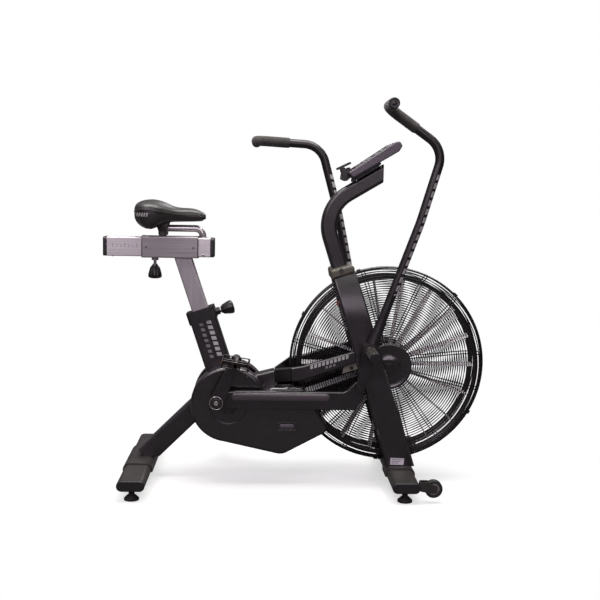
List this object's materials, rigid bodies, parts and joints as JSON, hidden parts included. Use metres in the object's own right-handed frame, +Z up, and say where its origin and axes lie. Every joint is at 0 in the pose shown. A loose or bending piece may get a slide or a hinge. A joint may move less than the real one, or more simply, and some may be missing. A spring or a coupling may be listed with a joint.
{
  "type": "air bike",
  "caption": "Fan-braked exercise bike: pedals and two swinging arms drive a caged fan; slotted seat post, saddle and tilted console on a black steel frame.",
  "frame": {"origin": "on the floor, under the middle of the machine's length and width", "axes": "+X forwards, the way the rider faces; +Y to the rider's left; +Z up"},
  "size_m": [1.222, 0.594, 1.202],
  "materials": {
    "frame_paint": "satin black powder coat",
    "bar_paint": "satin black powder coat, slightly greyer",
    "moving_paint": "satin black powder coat",
    "black_plastic": "fine moulded grain",
    "bare_steel": "turned and zinc plated steel",
    "brushed_post": "brushed along its length",
    "chrome": "polished chrome",
    "peg_steel": "fluted steel",
    "pedal_alloy": "dark cast alloy with worn edges",
    "grip_foam": "closed-cell foam",
    "foot_rubber": "moulded rubber",
    "wheel_rubber": "hard rubber tread",
    "fan_blade_steel": "plain sheet",
    "fan_rim_paint": "black paint",
    "cage_wire": "black powder-coated wire",
    "saddle_vinyl": "black vinyl over foam with sewn panels",
    "screen": "dark display window",
    "button_rubber": "moulded keys"
  },
  "bodies": {
    "frame": {"seat_tube": "frame_paint", "rear_leg": "frame_paint", "drive_beam": "frame_paint", "frame_junction": "frame_paint", "side_beam_right": "frame_paint", "side_beam_left": "frame_paint", "fork_leg_left": "frame_paint", "fork_leg_right": "frame_paint", "fork_crown": "bar_paint", "mast": "frame_paint", "frame_bolts": "bare_steel", "rear_foot_bar": "bar_paint", "front_foot_bar": "bar_paint", "foot_end_caps": "black_plastic", "foot_brackets": "bar_paint", "chain_cover_right": "black_plastic", "chain_cover_left": "black_plastic", "bearings": "bare_steel", "chains": "bare_steel", "cage_right": "cage_wire", "cage_left": "cage_wire", "fan_axle": "bare_steel", "foot_pegs": "peg_steel", "post_collar": "black_plastic", "console_housing": "black_plastic", "console_screen": "screen", "console_bracket": "black_plastic"},
    "crank": {"crank_spindle": "bare_steel", "chainring": "bare_steel", "crank_arm_right": "moving_paint", "crank_arm_left": "moving_paint"},
    "pedal_right": {"pedal_right": "pedal_alloy"},
    "pedal_left": {"pedal_left": "pedal_alloy"},
    "link_right": {"link_right": "moving_paint"},
    "link_left": {"link_left": "moving_paint"},
    "jackshaft": {"jackshaft": "bare_steel"},
    "fan": {"fan_hub": "bare_steel", "fan_blades": "fan_blade_steel", "fan_rims": "fan_rim_paint"},
    "arm_right": {"arm_right": "moving_paint", "grip_right": "grip_foam"},
    "arm_left": {"arm_left": "moving_paint", "grip_left": "grip_foam"},
    "seat_post": {"seat_post": "brushed_post", "seat_sleeve": "brushed_post"},
    "post_knob": {"post_knob": "black_plastic"},
    "seat_slider": {"seat_slider": "brushed_post", "slider_caps": "black_plastic", "saddle_stem": "chrome", "saddle_clamp": "bare_steel"},
    "slider_knob": {"slider_knob": "black_plastic"},
    "saddle": {"saddle": "saddle_vinyl"},
    "wheel_right": {"transport_wheel_right": "wheel_rubber"},
    "wheel_left": {"transport_wheel_left": "wheel_rubber"},
    "start_button": {"start_button": "button_rubber"},
    "stop_button": {"stop_button": "button_rubber"},
    "rear_foot_right": {"rear_foot_right": "foot_rubber"},
    "rear_foot_left": {"rear_foot_left": "foot_rubber"},
    "front_foot_right": {"front_foot_right": "foot_rubber"},
    "front_foot_left": {"front_foot_left": "foot_rubber"}
  },
  "joints": [
    {"name": "crank_spin", "type": "hinge", "parent": "frame", "child": "crank", "pos_m": [-0.208, 0, 0.256], "axis": [0, 1, 0], "continuous": true},
    {"name": "pedal_right_spin", "type": "hinge", "parent": "crank", "child": "pedal_right", "pos_m": [-0.1841, -0.23, 0.41218], "axis": [0, 1, 0], "continuous": true},
    {"name": "pedal_left_spin", "type": "hinge", "parent": "crank", "child": "pedal_left", "pos_m": [-0.2319, 0.23, 0.09982], "axis": [0, 1, 0], "continuous": true},
    {"name": "link_right_turn", "type": "hinge", "parent": "crank", "child": "link_right", "pos_m": [-0.24453, -0.133, 0.27461], "axis": [0, 1, 0], "continuous": true},
    {"name": "link_left_turn", "type": "hinge", "parent": "crank", "child": "link_left", "pos_m": [-0.17147, 0.133, 0.23739], "axis": [0, 1, 0], "continuous": true},
    {"name": "jackshaft_spin", "type": "hinge", "parent": "frame", "child": "jackshaft", "pos_m": [-0.015, 0, 0.24], "axis": [0, 1, 0], "continuous": true},
    {"name": "fan_spin", "type": "hinge", "parent": "frame", "child": "fan", "pos_m": [0.297, 0, 0.38], "axis": [0, 1, 0], "continuous": true},
    {"name": "right_arm_swing", "type": "hinge", "parent": "frame", "child": "arm_right", "pos_m": [0.229, -0.14, 0.441], "axis": [0, 1, 0], "range_deg": [-36.5, 2.2]},
    {"name": "left_arm_swing", "type": "hinge", "parent": "frame", "child": "arm_left", "pos_m": [0.229, 0.14, 0.441], "axis": [0, 1, 0], "range_deg": [-2.2, 36.5]},
    {"name": "seat_height", "type": "slide", "parent": "frame", "child": "seat_post", "axis": [-0.3173, 0, 0.9483], "range_m": [-0.11, 0.08]},
    {"name": "post_knob_pull", "type": "slide", "parent": "frame", "child": "post_knob", "axis": [0.9483, 0, 0.3173], "range_m": [0, 0.01], "stiffness_N_per_m": 800, "springref_m": -0.004},
    {"name": "seat_fore_aft", "type": "slide", "parent": "seat_post", "child": "seat_slider", "axis": [1, 0, 0], "range_m": [0, 0.085]},
    {"name": "slider_knob_pull", "type": "slide", "parent": "seat_post", "child": "slider_knob", "axis": [0, 0, -1], "range_m": [0, 0.01], "stiffness_N_per_m": 1200, "springref_m": -0.004},
    {"name": "saddle_tilt", "type": "hinge", "parent": "seat_slider", "child": "saddle", "pos_m": [-0.425, 0, 0.788], "axis": [0, 1, 0], "range_deg": [-6, 6]},
    {"name": "wheel_right_spin", "type": "hinge", "parent": "frame", "child": "wheel_right", "pos_m": [0.417, -0.272, 0.044], "axis": [0, 1, 0], "continuous": true},
    {"name": "wheel_left_spin", "type": "hinge", "parent": "frame", "child": "wheel_left", "pos_m": [0.417, 0.272, 0.044], "axis": [0, 1, 0], "continuous": true},
    {"name": "start_button_press", "type": "slide", "parent": "frame", "child": "start_button", "axis": [0.5628, 0, -0.8266], "range_m": [0, 0.002], "stiffness_N_per_m": 800, "springref_m": -0.001},
    {"name": "stop_button_press", "type": "slide", "parent": "frame", "child": "stop_button", "axis": [0.5628, 0, -0.8266], "range_m": [0, 0.002], "stiffness_N_per_m": 800, "springref_m": -0.001},
    {"name": "rear_foot_right_turn", "type": "hinge", "parent": "frame", "child": "rear_foot_right", "pos_m": [-0.49, -0.262, 0.03], "axis": [0, 0, 1], "continuous": true},
    {"name": "rear_foot_left_turn", "type": "hinge", "parent": "frame", "child": "rear_foot_left", "pos_m": [-0.49, 0.262, 0.03], "axis": [0, 0, 1], "continuous": true},
    {"name": "front_foot_right_turn", "type": "hinge", "parent": "frame", "child": "front_foot_right", "pos_m": [0.333, -0.262, 0.03], "axis": [0, 0, 1], "continuous": true},
    {"name": "front_foot_left_turn", "type": "hinge", "parent": "frame", "child": "front_foot_left", "pos_m": [0.333, 0.262, 0.03], "axis": [0, 0, 1], "continuous": true}
  ],
  "couplings": [
    {"joint": "link_right_turn", "follows": "crank_spin", "ratio": -1},
    {"joint": "link_left_turn", "follows": "crank_spin", "ratio": -1},
    {"joint": "jackshaft_spin", "follows": "crank_spin", "ratio": 3.1},
    {"joint": "fan_spin", "follows": "crank_spin", "ratio": 6.82},
    {"joint": "left_arm_swing", "follows": "right_arm_swing", "ratio": -1}
  ]
}
